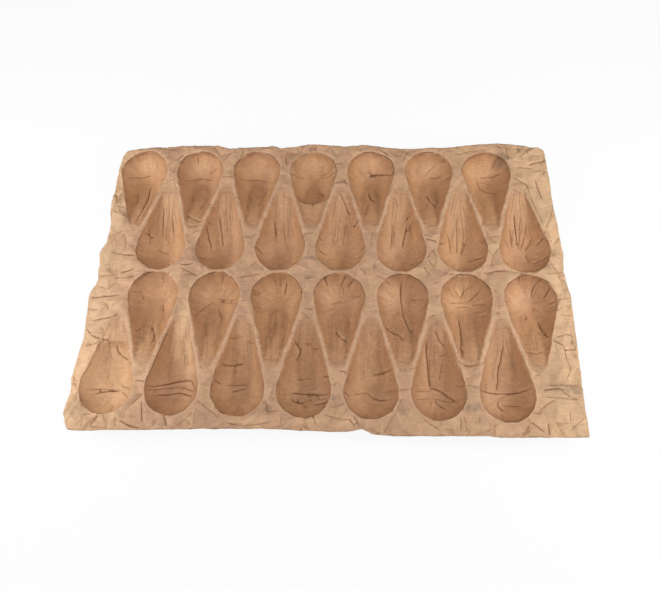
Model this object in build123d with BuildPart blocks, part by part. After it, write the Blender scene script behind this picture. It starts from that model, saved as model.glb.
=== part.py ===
"""Pressed kraft paper pear tray: one thin sheet with two interlocking bands of pear-shaped pockets."""

import math
import os

from build123d import *

# Pocket layout, in millimetres
columns = 7
column_gap = 13.0
ridge_width = 6.0
centre_gap = 3.6

# Pear outline of a pocket at the face of the sheet
head_radius = 31.0
tip_radius = 8.0
neck_length = 80.0
head_facets = 12
tip_facets = 4

# Pocket walls, from the flared lip down to the flat floor that the tray rests on
lip_width = 1.0
lip_depth = 1.5
shoulder_inset = 4.0
shoulder_depth = 9.0
shoulder_neck_length = 78.0
bowl_inset = 10.5
bowl_drop = 8.0
bowl_neck_length = 58.0
floor_inset = 23.0
floor_drop = 9.0
floor_neck_length = 4.0

# Flat floor of the neck, a ramp from the bowl up to the tip
ramp_start = 6.0
ramp_tip_depth = 3.5

# Crushed necks, as (row, column): length of the neck that is still hollow
crushed_necks = {(0, 3): 26.0, (3, 0): 28.5}

# Sheet of paper, with its uneven cut edges as (share of the side, width of the margin)
paper_thickness = 0.6
back_margin = [(0.0, 2.0), (0.1, 7.0), (0.24, 10.0), (0.27, 4.0), (0.37, 8.5), (0.39, 4.0), (0.45, 12.0),
               (0.54, 7.0), (0.57, 10.5), (0.69, 4.0), (0.79, 8.0), (0.89, 14.0), (1.0, 7.0)]
right_margin = [(0.0, 9.0), (0.12, 9.0), (0.43, 13.5), (0.49, 10.5), (0.58, 15.5), (0.9, 12.5), (1.0, 14.0)]
front_margin = [(0.0, 14.0), (0.16, 16.5), (0.18, 15.0), (0.36, 17.5), (0.4, 15.5), (0.42, 10.5), (0.45, 14.5),
                (0.6, 12.5), (0.87, 17.0), (0.97, 19.0), (1.0, 18.0)]
left_margin = [(0.0, 3.0), (0.04, 11.0), (0.09, 8.0), (0.14, 10.5), (0.26, 5.0), (0.41, 8.5), (0.46, 1.5),
               (0.56, 6.0), (0.6, 0.5), (0.68, 0.5), (0.76, 5.0), (0.96, 3.0), (1.0, -1.0)]

# Places that follow from the sizes above
pitch = 2 * head_radius + column_gap
taper = math.asin((head_radius - tip_radius) / neck_length)
inner_row = head_radius + centre_gap / 2
row_step = (2 * head_radius + ridge_width - pitch / 2 * math.cos(taper)) / math.sin(taper)
outer_row = inner_row + row_step
row_shift = pitch / 4
field_x = (columns - 1) / 2 * pitch + row_shift + head_radius
field_y = outer_row + head_radius
bowl_depth = shoulder_depth + bowl_drop
pocket_depth = bowl_depth + floor_drop

# Rows from back to front: height on the sheet, sideways shift and turn of the pear
rows = [
    (outer_row, -row_shift, 0),
    (inner_row, row_shift, 180),
    (-inner_row, row_shift, 0),
    (-outer_row, -row_shift, 180),
]


def pear(head, neck, depth):
    """Corners of one level outline: a round head, straight flanks and a round tip, with the same taper."""
    tip = head - neck * math.sin(taper)
    head_sweep = math.pi + 2 * taper
    tip_sweep = math.pi - 2 * taper
    corners = []
    for step in range(head_facets + 1):
        angle = -taper + head_sweep * step / head_facets
        corners.append((head * math.cos(angle), head * math.sin(angle), -depth))
    for step in range(tip_facets + 1):
        angle = math.pi + taper + tip_sweep * step / tip_facets
        corners.append((tip * math.cos(angle), tip * math.sin(angle) - neck, -depth))
    return corners


def lip(grow):
    """Flared mouth of a pocket, grown by the thickness of the paper for its underside."""
    return [
        *pear(head_radius + grow, neck_length, 0),
        *pear(head_radius - 2 * lip_width + grow, neck_length, 2 * lip_depth + grow),
    ]


def bowl(grow, neck):
    """Hollow of a pocket below its lip, grown by the thickness of the paper for its underside."""
    return [
        *pear(head_radius - lip_width + grow, neck, 0),
        *pear(head_radius - shoulder_inset + grow, min(neck, shoulder_neck_length), shoulder_depth + grow),
        *pear(head_radius - bowl_inset + grow, min(neck, bowl_neck_length), bowl_depth + grow),
        *pear(head_radius - floor_inset + grow, min(neck, floor_neck_length), pocket_depth + grow),
    ]


def pocket(grow, neck):
    """One whole pocket as a solid, with its mouth at the face of the sheet and a sloping floor in its neck."""
    rise = (0, pocket_depth - ramp_tip_depth, neck_length - ramp_start)
    ramp = Plane(origin=(0, -ramp_start, -pocket_depth), x_dir=(1, 0, 0), z_dir=rise).offset(-grow)
    with BuildPart() as punch:
        ConvexPolyhedron(lip(grow))
        ConvexPolyhedron(bowl(grow, neck))
        split(bisect_by=ramp, keep=Keep.TOP)
    return punch.part


def side(margins, start, end, outward):
    """Corners along one cut edge, from start to end of the pocket field."""
    points = []
    for share, margin in margins:
        x = start[0] + (end[0] - start[0]) * share + outward[0] * margin
        y = start[1] + (end[1] - start[1]) * share + outward[1] * margin
        points.append((x, y))
    return points


# The sheet's sides run past the pocket field by the margins of the sides that they meet
back_left = (-field_x - left_margin[-1][1], field_y)
back_right = (field_x + right_margin[0][1], field_y)
right_back = (field_x, field_y + back_margin[-1][1])
right_front = (field_x, -field_y - front_margin[0][1])
front_right = (field_x + right_margin[-1][1], -field_y)
front_left = (-field_x - left_margin[0][1], -field_y)
left_front = (-field_x, -field_y - front_margin[-1][1])
left_back = (-field_x, field_y + back_margin[0][1])
outline = [
    *side(back_margin, back_left, back_right, (0, 1)),
    *side(right_margin[1:-1], right_back, right_front, (1, 0)),
    *side(front_margin, front_right, front_left, (0, -1)),
    *side(left_margin[1:-1], left_front, left_back, (-1, 0)),
]

# The origin is under the middle of the sheet, on the level of the pocket floors
across = [x for x, y in outline]
along = [y for x, y in outline]
middle_x = (max(across) + min(across)) / 2
middle_y = (max(along) + min(along)) / 2
sheet_top = pocket_depth + paper_thickness

# Pockets grouped by the length of their hollow neck
spots = {}
for row, (row_y, shift, turn) in enumerate(rows):
    for column in range(columns):
        x = (column - (columns - 1) / 2) * pitch + shift
        spot = Location((x - middle_x, row_y - middle_y, sheet_top), (0, 0, turn))
        spots.setdefault(crushed_necks.get((row, column), neck_length), []).append(spot)

hollows = {neck: pocket(0, neck) for neck in spots}
undersides = {neck: pocket(paper_thickness, neck) for neck in spots}

with BuildPart() as tray:
    with BuildSketch(Plane.XY.offset(pocket_depth)):
        with BuildLine():
            Polyline(*[(x - middle_x, y - middle_y) for x, y in outline], close=True)
        make_face()
    extrude(amount=paper_thickness)
    for neck, places in spots.items():
        with Locations(*places):
            add(undersides[neck])
    for neck, places in spots.items():
        with Locations(*places):
            add(hollows[neck], mode=Mode.SUBTRACT)

tray.part.label = "tray"
os.makedirs("parts", exist_ok=True)
export_step(tray.part, "parts/tray.step")
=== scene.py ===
"""Looks of the pressed kraft paper pear tray: creased paper, uneven cut edges and soft studio light."""

import math
import random

import bmesh
import bpy
import numpy as np
from mathutils import Matrix, Vector, noise
from mathutils.bvhtree import BVHTree
from mathutils.geometry import delaunay_2d_cdt, normal


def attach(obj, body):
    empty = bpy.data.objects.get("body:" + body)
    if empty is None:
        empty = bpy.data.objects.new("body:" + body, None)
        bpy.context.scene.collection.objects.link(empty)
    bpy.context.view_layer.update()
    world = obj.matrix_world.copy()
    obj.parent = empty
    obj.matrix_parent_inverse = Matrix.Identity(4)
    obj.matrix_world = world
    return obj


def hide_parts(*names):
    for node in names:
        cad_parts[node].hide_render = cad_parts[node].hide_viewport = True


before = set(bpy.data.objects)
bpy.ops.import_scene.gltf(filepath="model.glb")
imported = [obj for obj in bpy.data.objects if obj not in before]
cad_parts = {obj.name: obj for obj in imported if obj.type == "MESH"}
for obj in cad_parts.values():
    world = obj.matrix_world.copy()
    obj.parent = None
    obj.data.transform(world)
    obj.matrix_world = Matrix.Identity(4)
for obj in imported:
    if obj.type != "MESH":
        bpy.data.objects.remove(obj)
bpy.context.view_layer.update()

# A millimetre in metres, sizes that count as nothing, and a distance beyond every rim
MM = 0.001
TINY = 1e-9
SHORT = 1e-6
FAR = 1000.0

# Tray sizes shared with the solid, in millimetres
COLUMNS = 7
PITCH = 75.0
ROW_SHIFT = PITCH / 4
HEAD_RADIUS = 31.0
NECK_LENGTH = 80.0
TIP_RADIUS = 8.0
INNER_ROW = 32.8
OUTER_ROW = 144.4
FIELD_MIDDLE = (-2.25, 2.5)
SHEET_TOP = 26.6
TAPER_SINE = (HEAD_RADIUS - TIP_RADIUS) / NECK_LENGTH
TAPER_COSINE = math.sqrt(1 - TAPER_SINE ** 2)
FIELD_X = (COLUMNS - 1) / 2 * PITCH + ROW_SHIFT + HEAD_RADIUS
FIELD_Y = OUTER_ROW + HEAD_RADIUS

# Thickness of the paper, less than in the solid, and the least height of its top above the floor
PAPER = 0.4
LEAST_HEIGHT = 2 * PAPER

# Sheet before its edge is cut: margin round the pockets, cells of its mesh and strip that the cut moves
MARGIN = 12.0
HALF_X = FIELD_X + MARGIN
HALF_Y = FIELD_Y + MARGIN
CELLS_X = 270
CELLS_Y = 180
CELL = 2 * HALF_X / CELLS_X
CUT_STRIP = 20.0

# Rounding of the cut corners, by side of the tray
CORNER_RADII = {(-1, -1): 1.0, (1, -1): 2.0, (-1, 1): 7.0, (1, 1): 10.0}

# A pocket's wall, as inset from the rim and depth, and its floor, as place along the pear and depth
POCKET_DEPTH = 26.0
WALL_INSETS = [0.0, 1.5, 4.0, 10.0, 17.0, 23.0, 31.0]
WALL_DEPTHS = [0.0, 4.0, 10.0, 18.0, 23.0, 25.5, POCKET_DEPTH]
FLOOR_PLACES = [-88.5, -80.0, -66.0, -4.0, 40.0]
FLOOR_DEPTHS = [0.0, 0.9, 4.6, POCKET_DEPTH, POCKET_DEPTH]
BACK_FLOOR_PLACES = [-88.5, -80.0, -66.0, -4.0, 3.0, 30.0]
BACK_FLOOR_DEPTHS = [0.0, 0.9, 4.6, POCKET_DEPTH, 25.0, 8.0]
FLOOR_FOLD = 1.5
TIP_FADE = (90.0, 18.0)
AROUND_HEAD = 15.0
AROUND_TIP = 25.0

# Crushed necks: middle and reach of the bowl that is left, depth of the flat paper, steepness of the wall
CRUSHED_NECKS = {(0, 3): (-22.0, 26.0, 3.0, 1.0), (3, 0): (-18.0, 38.0, 1.0, 0.55)}

# Fold with a line of painted shade along the edge of the crushed back pocket's bowl
LEDGE_POCKET = (0, 3)
LEDGE_INSET = 0.1
LEDGE_ENDS = math.radians(25)
LEDGE_POINTS = 16

# Uneven cut edges: place along the side and width of the margin
BACK_MARGIN = [(0.0, 2.0), (0.1, 7.0), (0.24, 10.0), (0.27, 4.0), (0.37, 8.5), (0.39, 4.0), (0.45, 12.0),
               (0.54, 7.0), (0.57, 10.5), (0.69, 4.0), (0.79, 8.0), (0.89, 14.0), (1.0, 7.0)]
FRONT_MARGIN = [(0.0, 18.0), (0.03, 19.0), (0.13, 17.0), (0.4, 12.5), (0.55, 14.5), (0.58, 10.5),
                (0.6, 15.5), (0.64, 17.5), (0.82, 15.0), (0.84, 16.5), (1.0, 14.0)]
LEFT_MARGIN = [(0.0, 3.0), (0.04, 11.0), (0.09, 8.0), (0.14, 10.5), (0.26, 5.0), (0.41, 8.5), (0.46, 1.5),
               (0.56, 6.0), (0.6, 0.5), (0.68, 0.5), (0.76, 5.0), (0.96, 3.0), (1.0, -1.0)]
RIGHT_MARGIN = [(0.0, 14.0), (0.1, 12.5), (0.42, 15.5), (0.51, 10.5), (0.57, 13.5), (0.88, 9.0), (1.0, 9.0)]

# Smooth noise on the sheet, each wave as height, size and seed
EDGE_NICKS = ((0.3, 5.0, 2.0), (0.5, 14.0, 5.0))
EDGE_CURL = ((2.2, 40.0, 8.0), (0.5, 13.0, 3.0))
SWELL = ((1.0, 90.0, 1.0),)
RIM_WAVER_X = ((0.75, 7.0, 21.0), (1.0, 19.0, 23.0))
RIM_WAVER_Y = ((0.75, 7.0, 25.0), (1.0, 19.0, 27.0))

# Camera of the photograph, with its picture size and focal length in pixels
PICTURE = (660, 590)
FOCAL = 539.3
CAMERA_PLACE = (32.0, -266.9, 621.6)
CAMERA_YAW = math.radians(6.32)
CAMERA_TILT = math.radians(22.0)
CAMERA_ROLL = math.radians(-5.2)
SENSOR = 36.0
SIGHT_START = SHEET_TOP + 1
SIGHT_LEVELS = 80

# Folds that show as dark lines of painted shade, each given by points along it in the photograph's pixels
DEEP_CREASES = {
    "back_1": [[(152, 187), (147, 203), (136, 222)]],
    "back_2": [[(178, 160), (185, 154)], [(186, 214), (191, 218), (201, 221), (205, 219)]],
    "back_3": [[(241, 157), (245, 151)]],
    "back_4": [[(322, 193), (325, 197)]],
    "back_5": [[(368, 170), (371, 175), (376, 174), (386, 174), (393, 175)],
               [(368, 192), (370, 199), (375, 203)], [(379, 148), (384, 151), (388, 155)]],
    "back_6": [[(426, 196), (429, 201), (433, 205), (437, 208)], [(442, 182), (447, 179), (451, 176)],
               [(424, 240), (437, 241)]],
    "back_7": [[(495, 175), (501, 173)], [(496, 145), (502, 149)], [(515, 147), (521, 149)]],
    "inner_back_1": [[(163, 208), (163, 237)], [(146, 233), (154, 239)]],
    "inner_back_2": [[(206, 225), (209, 239), (212, 252)], [(219, 217), (222, 238), (224, 247)]],
    "inner_back_3": [[(256, 246), (261, 251), (263, 255)], [(274, 221), (276, 236)]],
    "inner_back_4": [[(338, 191), (343, 199), (347, 208), (350, 216)], [(358, 218), (357, 224), (353, 227)],
                     [(316, 245), (322, 252), (327, 256)], [(319, 236), (324, 241)]],
    "inner_back_5": [[(407, 226), (402, 248)]],
    "inner_back_6": [[(467, 262), (475, 260), (484, 257)], [(438, 241), (444, 244)]],
    "inner_back_7": [[(514, 215), (516, 239), (517, 247)], [(546, 230), (543, 239), (539, 243), (535, 246)],
                     [(532, 264), (539, 262), (545, 259), (553, 254)],
                     [(500, 256), (504, 261), (509, 266)]],
    "centre": [[(180, 264), (186, 265), (194, 264)], [(240, 276), (246, 275)],
               [(424, 267), (426, 271), (430, 275)], [(484, 272), (497, 271), (506, 269)],
               [(168, 272), (172, 278)]],
    "left_margin": [[(124, 256), (136, 255)], [(120, 272), (127, 271), (134, 269)],
                    [(91, 296), (94, 298), (103, 297), (120, 295)],
                    [(94, 321), (103, 318), (113, 317), (120, 312)],
                    [(86, 328), (92, 336), (98, 338), (107, 339), (112, 342)]],
    "inner_front_1": [[(153, 326), (155, 341)], [(134, 380), (146, 381)]],
    "inner_front_3": [[(287, 282), (285, 295)], [(300, 284), (301, 295)]],
    "inner_front_4": [[(324, 275), (328, 287)], [(346, 274), (342, 283), (341, 288)],
                      [(354, 279), (348, 287)], [(335, 331), (340, 338), (348, 342)],
                      [(336, 370), (343, 371), (347, 374)]],
    "inner_front_5": [[(402, 279), (400, 294), (402, 309), (403, 315), (407, 325), (413, 335)],
                      [(385, 326), (399, 335), (403, 341)]],
    "inner_front_6": [[(459, 319), (461, 339), (462, 357)],
                      [(455, 357), (462, 364), (471, 366), (482, 363)], [(460, 299), (464, 291)],
                      [(468, 302), (480, 291)], [(481, 317), (487, 316)]],
    "inner_front_7": [[(538, 282), (533, 288), (531, 297)], [(552, 285), (550, 290), (543, 299)],
                      [(560, 299), (553, 302), (548, 304)],
                      [(537, 321), (543, 332), (550, 338), (554, 339)],
                      [(554, 339), (560, 342), (564, 345)], [(564, 350), (577, 349)]],
    "front_1": [[(117, 344), (117, 351), (122, 356), (129, 360)], [(95, 394), (109, 392), (121, 391)]],
    "front_2": [[(145, 385), (157, 386), (174, 382), (187, 381), (192, 381), (196, 391)],
                [(156, 395), (174, 394), (183, 393), (193, 396)]],
    "front_3": [[(214, 380), (222, 385)], [(232, 392), (240, 391), (248, 388)],
                [(222, 364), (232, 366), (244, 364)]],
    "front_4": [[(293, 338), (301, 350), (296, 363)], [(324, 377), (330, 377)],
                [(290, 393), (306, 394), (330, 393)], [(291, 399), (297, 403), (305, 403)],
                [(314, 405), (324, 403), (329, 399)], [(324, 404), (323, 408)]],
    "front_5": [[(345, 392), (350, 396)], [(367, 393), (374, 400), (388, 400)],
                [(373, 375), (382, 374), (392, 369)]],
    "front_6": [[(426, 340), (427, 366), (429, 384), (431, 389)], [(435, 331), (439, 341), (446, 348)],
                [(430, 387), (444, 393), (456, 401)], [(433, 400), (441, 407), (446, 409)]],
    "front_7": [[(504, 344), (501, 356), (498, 375), (496, 391)],
                [(480, 389), (483, 391), (490, 393), (511, 394), (527, 391), (535, 386)],
                [(498, 401), (498, 406), (504, 411)]],
    "front_margin": [[(118, 420), (128, 426), (139, 428)], [(141, 400), (141, 423)],
                     [(164, 416), (167, 427)], [(354, 416), (359, 426)], [(350, 419), (355, 427)],
                     [(528, 419), (534, 423), (545, 432)], [(549, 423), (550, 436)]],
    "right_margin": [[(543, 391), (560, 388), (565, 390)], [(529, 164), (536, 162), (544, 160)],
                     [(512, 176), (519, 180), (526, 184), (528, 191)],
                     [(535, 180), (537, 186), (542, 199)]],
}

# Finer folds with fainter lines of painted shade, given in the same way
FINE_CREASES = {
    "back_1": [[(127, 177), (140, 177), (152, 176)], [(168, 158), (170, 155)]],
    "back_2": [[(198, 153), (198, 165)], [(209, 175), (217, 167)], [(186, 225), (194, 226), (202, 225)],
               [(218, 145), (225, 146)], [(223, 177), (233, 177)], [(183, 180), (198, 178), (214, 180)]],
    "back_3": [[(272, 181), (278, 178)], [(240, 178), (256, 179), (270, 182)]],
    "back_4": [[(310, 147), (311, 152)], [(313, 146), (314, 151)], [(316, 145), (317, 159)],
               [(322, 175), (331, 170)], [(324, 179), (335, 173)], [(290, 173), (296, 177), (303, 179)],
               [(305, 220), (311, 217)], [(337, 156), (342, 152)], [(337, 163), (343, 163)]],
    "back_5": [[(368, 177), (377, 177)], [(368, 204), (365, 215)], [(371, 226), (380, 221)],
               [(402, 162), (408, 151)]],
    "back_6": [[(424, 177), (430, 170), (435, 164)], [(428, 179), (437, 178), (441, 177)],
               [(425, 207), (428, 203)], [(439, 161), (446, 162), (456, 164)], [(443, 153), (442, 159)],
               [(456, 154), (465, 152), (479, 149)]],
    "back_7": [[(479, 178), (490, 177), (496, 175)],
               [(476, 177), (477, 184), (481, 191), (502, 191), (509, 189)], [(479, 182), (490, 185)],
               [(472, 201), (474, 199)]],
    "inner_back_1": [[(150, 228), (151, 246)], [(172, 214), (174, 232)], [(158, 250), (170, 255)]],
    "inner_back_2": [[(207, 221), (214, 225)], [(198, 243), (203, 250)], [(245, 237), (256, 233)]],
    "inner_back_3": [[(263, 232), (268, 235)], [(283, 222), (286, 244)]],
    "inner_back_4": [[(352, 226), (358, 222)], [(345, 225), (343, 246)], [(360, 250), (364, 248)],
                     [(347, 267), (354, 266)]],
    "inner_back_5": [[(415, 217), (407, 232)], [(413, 221), (410, 235)], [(395, 198), (399, 209)],
                     [(392, 222), (391, 250)], [(403, 224), (412, 212)]],
    "inner_back_6": [[(445, 230), (448, 235), (451, 254)], [(456, 217), (457, 254)],
                     [(463, 228), (463, 246), (460, 255)], [(468, 237), (461, 256)],
                     [(480, 242), (484, 241)], [(443, 272), (449, 274), (456, 275)]],
    "inner_back_7": [[(520, 216), (519, 250)], [(527, 223), (521, 250)], [(532, 237), (525, 252)],
                     [(525, 255), (529, 263)], [(505, 238), (509, 250)], [(509, 228), (512, 248)],
                     [(494, 272), (504, 270), (518, 272), (532, 275)]],
    "centre": [[(180, 267), (190, 272), (195, 274)], [(184, 275), (190, 274), (198, 275)],
               [(246, 275), (260, 273)], [(304, 234), (313, 233)], [(304, 278), (313, 277)],
               [(303, 308), (313, 309)], [(302, 311), (309, 318)], [(368, 315), (376, 318)],
               [(376, 274), (385, 279)], [(433, 283), (440, 282)], [(427, 318), (432, 315), (437, 314)],
               [(492, 294), (496, 288)], [(496, 315), (499, 311)], [(241, 301), (247, 301)],
               [(167, 273), (171, 275)], [(236, 320), (240, 322)], [(375, 263), (373, 269)]],
    "left_margin": [[(110, 243), (115, 238), (117, 234)], [(110, 236), (117, 232), (123, 230)],
                    [(112, 253), (127, 255)], [(100, 277), (110, 276), (117, 274)],
                    [(114, 277), (127, 277), (135, 276)], [(87, 309), (98, 310)],
                    [(85, 346), (95, 343), (104, 342)]],
    "inner_front_1": [[(129, 291), (143, 291)], [(142, 294), (144, 301)], [(163, 303), (163, 312)],
                      [(133, 334), (144, 338)], [(135, 331), (141, 327)]],
    "inner_front_2": [[(193, 317), (203, 308), (213, 301)], [(217, 299), (236, 299)],
                      [(219, 302), (236, 302)], [(219, 308), (223, 319)],
                      [(199, 363), (200, 367), (204, 369)], [(224, 275), (222, 283)]],
    "inner_front_3": [[(252, 290), (261, 292)], [(252, 294), (262, 294)], [(253, 305), (263, 308)],
                      [(275, 279), (276, 285)]],
    "inner_front_4": [[(352, 297), (362, 295)], [(330, 304), (343, 302)], [(343, 288), (344, 295)]],
    "inner_front_5": [[(386, 280), (391, 286)], [(410, 299), (414, 301), (425, 299)],
                      [(403, 340), (406, 334)], [(384, 324), (391, 330)],
                      [(398, 369), (403, 370), (416, 369)]],
    "inner_front_6": [[(454, 283), (454, 290), (460, 299)], [(463, 290), (475, 285)],
                      [(471, 305), (487, 304)], [(474, 312), (485, 311)], [(449, 303), (468, 302)],
                      [(454, 307), (468, 307)], [(474, 274), (476, 279)]],
    "inner_front_7": [[(519, 280), (520, 286)], [(505, 301), (510, 301)], [(532, 308), (534, 312)],
                      [(526, 315), (524, 321)], [(524, 351), (529, 353), (537, 354), (543, 351)],
                      [(535, 377), (543, 371)]],
    "front_1": [[(88, 389), (109, 390), (121, 391)], [(121, 391), (128, 399)],
                [(120, 383), (124, 387), (131, 390)]],
    "front_2": [[(145, 390), (165, 388), (183, 387), (196, 392)], [(196, 400), (208, 409), (217, 415)]],
    "front_3": [[(226, 385), (248, 385)], [(230, 338), (241, 337)], [(246, 342), (255, 342)],
                [(248, 323), (254, 327)], [(257, 350), (261, 369), (263, 389)]],
    "front_4": [[(304, 344), (313, 345)], [(313, 348), (321, 347)], [(276, 393), (286, 395)],
                [(307, 393), (312, 402)], [(296, 397), (300, 404), (308, 408)],
                [(316, 395), (321, 401), (328, 398)], [(296, 380), (312, 379)]],
    "front_5": [[(385, 392), (391, 391), (398, 390)], [(370, 331), (374, 341)], [(354, 394), (367, 393)]],
    "front_6": [[(434, 322), (440, 325)], [(439, 356), (448, 354)], [(442, 363), (439, 381)],
                [(432, 398), (458, 403)], [(416, 391), (429, 391)], [(416, 399), (430, 398)],
                [(429, 400), (432, 406)]],
    "front_7": [[(499, 399), (510, 395), (515, 393)], [(501, 405), (524, 406)]],
    "front_margin": [[(115, 416), (115, 427)], [(156, 418), (152, 427)],
                     [(225, 420), (230, 425), (249, 426), (272, 422)], [(282, 416), (280, 426)],
                     [(313, 415), (317, 427)], [(325, 415), (339, 419), (350, 420)],
                     [(421, 419), (431, 425), (439, 429)], [(461, 416), (461, 431)],
                     [(465, 416), (467, 431)], [(398, 390), (410, 389)], [(455, 387), (479, 388)],
                     [(480, 416), (480, 422)]],
    "right_margin": [[(545, 385), (581, 385)], [(543, 397), (572, 399), (580, 400)],
                     [(562, 390), (567, 395), (580, 400)], [(539, 412), (547, 405), (555, 400)],
                     [(529, 413), (543, 413)], [(571, 409), (571, 423)], [(570, 431), (586, 417)],
                     [(564, 345), (565, 350), (570, 366), (571, 372), (567, 381)],
                     [(556, 337), (566, 334), (574, 336), (571, 344)], [(570, 298), (560, 299)],
                     [(560, 315), (573, 315)], [(552, 253), (557, 257), (563, 262)],
                     [(517, 166), (523, 166), (533, 168)], [(511, 188), (520, 193)],
                     [(546, 228), (552, 214), (553, 207)],
                     [(526, 186), (530, 196), (537, 213), (544, 223)]],
}

# Rims with a line of painted shadow under their lip
RIM_CREASES = {
    "back_1": [[(126, 168), (131, 160), (140, 154), (149, 153), (160, 155)]],
    "back_2": [[(181, 166), (186, 159), (191, 155), (197, 153)], [(200, 152), (207, 153), (216, 158)]],
    "back_3": [[(266, 154), (272, 155), (277, 161), (279, 166), (278, 171)], [(235, 170), (242, 160)]],
    "back_4": [[(296, 156), (304, 151), (308, 150)], [(334, 157), (336, 163), (336, 172), (331, 177)]],
    "back_5": [[(358, 153), (368, 151), (376, 151), (386, 155), (391, 161), (394, 168), (393, 177)]],
    "back_6": [[(412, 158), (415, 155), (421, 153), (428, 153), (434, 155)]],
    "back_7": [[(472, 156), (468, 161), (464, 166), (462, 174)]],
    "inner_back_2": [[(244, 241), (241, 248)]],
    "inner_back_3": [[(301, 231), (304, 244), (303, 248)], [(274, 266), (280, 267), (287, 266)]],
    "inner_front_1": [[(133, 287), (143, 279), (148, 275), (156, 274)]],
    "inner_front_2": [[(188, 294), (191, 286), (198, 278), (202, 274), (211, 271), (218, 271)],
                      [(230, 273), (236, 279)]],
    "inner_front_3": [[(251, 289), (257, 282), (264, 275)],
                      [(287, 273), (292, 274), (300, 280), (300, 289), (302, 293)]],
    "inner_front_4": [[(314, 296), (315, 286), (319, 277), (325, 274), (332, 271)],
                      [(355, 276), (357, 279), (363, 286), (366, 294), (365, 300)]],
    "inner_front_5": [[(385, 279), (392, 275), (404, 273)],
                      [(403, 274), (410, 275), (417, 279), (422, 283), (428, 295)]],
    "inner_front_6": [[(455, 279), (468, 278), (473, 279), (483, 285), (489, 292)]],
    "inner_front_7": [[(505, 295), (507, 288), (513, 283), (520, 279), (528, 278)],
                      [(539, 278), (543, 280), (550, 285)]],
    "front_2": [[(166, 413), (171, 412), (180, 411), (190, 407)],
                [(173, 330), (162, 348), (154, 364), (148, 382)]],
    "front_3": [[(217, 410), (225, 415)]],
    "front_4": [[(296, 406), (302, 412), (307, 414), (312, 414), (318, 413)]],
    "front_7": [[(503, 422), (509, 423), (523, 420)]],
}

# Folds that stand up, with a line of painted highlight along them
RAISED_FOLDS = {
    "left_margin": [[(117, 276), (136, 273), (152, 271)], [(122, 311), (123, 335)],
                    [(113, 262), (128, 260)]],
    "centre": [[(273, 269), (285, 270)], [(332, 269), (344, 269), (348, 272), (356, 276)],
               [(215, 270), (223, 270)], [(450, 276), (462, 277), (472, 275)], [(512, 275), (530, 277)]],
    "inner_front_1": [[(176, 304), (172, 320), (158, 343), (150, 358), (145, 375)],
                      [(153, 298), (166, 295), (171, 300)]],
    "front_1": [[(104, 343), (98, 357), (89, 372), (82, 381)]],
    "right_margin": [[(573, 428), (584, 420)], [(556, 343), (560, 356), (566, 372)]],
    "back_margin": [[(476, 152), (490, 151)], [(447, 162), (455, 163)], [(262, 150), (272, 150)]],
}

# Grey smears: middle, half width and half height in the photograph's pixels, and strength
SMUDGES = {
    "back_7": [(502, 159, 7, 7, 0.75), (509, 166, 3, 6, 0.5)],
    "right_margin": [(562, 389, 22, 5, 0.4), (555, 389, 7, 2, 0.4)],
    "left_corner": [(78, 408, 9, 9, 0.35)],
    "front_margin": [(334, 397, 3, 3, 0.7), (339, 402, 6, 5, 0.3), (403, 412, 4, 4, 0.5),
                     (473, 408, 8, 4, 0.65), (268, 409, 4, 4, 0.5)],
    "centre": [(375, 266, 2, 4, 0.45), (311, 259, 4, 2, 0.7), (309, 277, 5, 2, 0.45)],
}

# Paler areas, given in the same way: paler paper, and painted light on lit facets and walls
PALE_PATCHES = {
    "outer_walls": [(128, 178, 6, 14, 0.5), (130, 300, 5, 20, 0.4), (84, 386, 6, 20, 0.6),
                    (554, 238, 6, 18, 0.6), (564, 310, 7, 22, 0.65), (532, 392, 5, 18, 0.3),
                    (144, 240, 6, 16, 0.3)],
    "back_row": [(144, 166, 18, 9, 0.35), (204, 166, 16, 10, 0.35), (260, 175, 18, 5, 0.2),
                 (308, 168, 12, 9, 0.25), (366, 162, 13, 7, 0.3), (428, 172, 13, 6, 0.25),
                 (474, 172, 10, 5, 0.3)],
    "inner_back_row": [(174, 206, 7, 22, 0.5), (172, 252, 10, 7, 0.2), (232, 224, 8, 22, 0.3),
                       (284, 212, 9, 25, 0.3), (336, 220, 9, 30, 0.35), (392, 220, 9, 32, 0.4),
                       (394, 248, 10, 8, 0.3), (454, 220, 8, 32, 0.4), (458, 260, 9, 7, 0.35),
                       (516, 206, 10, 25, 0.35)],
    "inner_front_row": [(160, 284, 16, 16, 0.3), (210, 296, 9, 7, 0.3), (334, 298, 11, 9, 0.4),
                        (390, 296, 9, 10, 0.4), (460, 288, 6, 6, 0.5), (458, 306, 14, 6, 0.5),
                        (516, 300, 10, 11, 0.45)],
    "front_row": [(104, 380, 28, 36, 1.0), (183, 325, 5, 18, 0.9), (187, 350, 7, 18, 0.9),
                  (191, 369, 8, 10, 0.7), (248, 340, 8, 25, 0.2), (366, 372, 8, 26, 0.35),
                  (360, 404, 12, 7, 0.25), (424, 352, 5, 20, 0.3), (440, 404, 14, 8, 0.25),
                  (488, 356, 9, 25, 0.4), (488, 404, 9, 8, 0.3)],
    "left_margin": [(116, 302, 8, 10, 0.4), (124, 326, 4, 16, 0.6), (118, 280, 14, 5, 0.5),
                    (100, 300, 14, 18, 0.3)],
    "front_margin": [(85, 419, 14, 5, 0.5), (105, 424, 10, 3, 0.4), (255, 421, 25, 5, 0.5),
                     (310, 421, 20, 4, 0.5), (345, 421, 10, 5, 0.6), (540, 428, 20, 8, 0.5),
                     (500, 430, 15, 5, 0.3)],
    "right_margin": [(572, 360, 8, 20, 0.3), (576, 420, 12, 12, 0.35), (534, 175, 8, 14, 0.3)],
}
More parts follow.
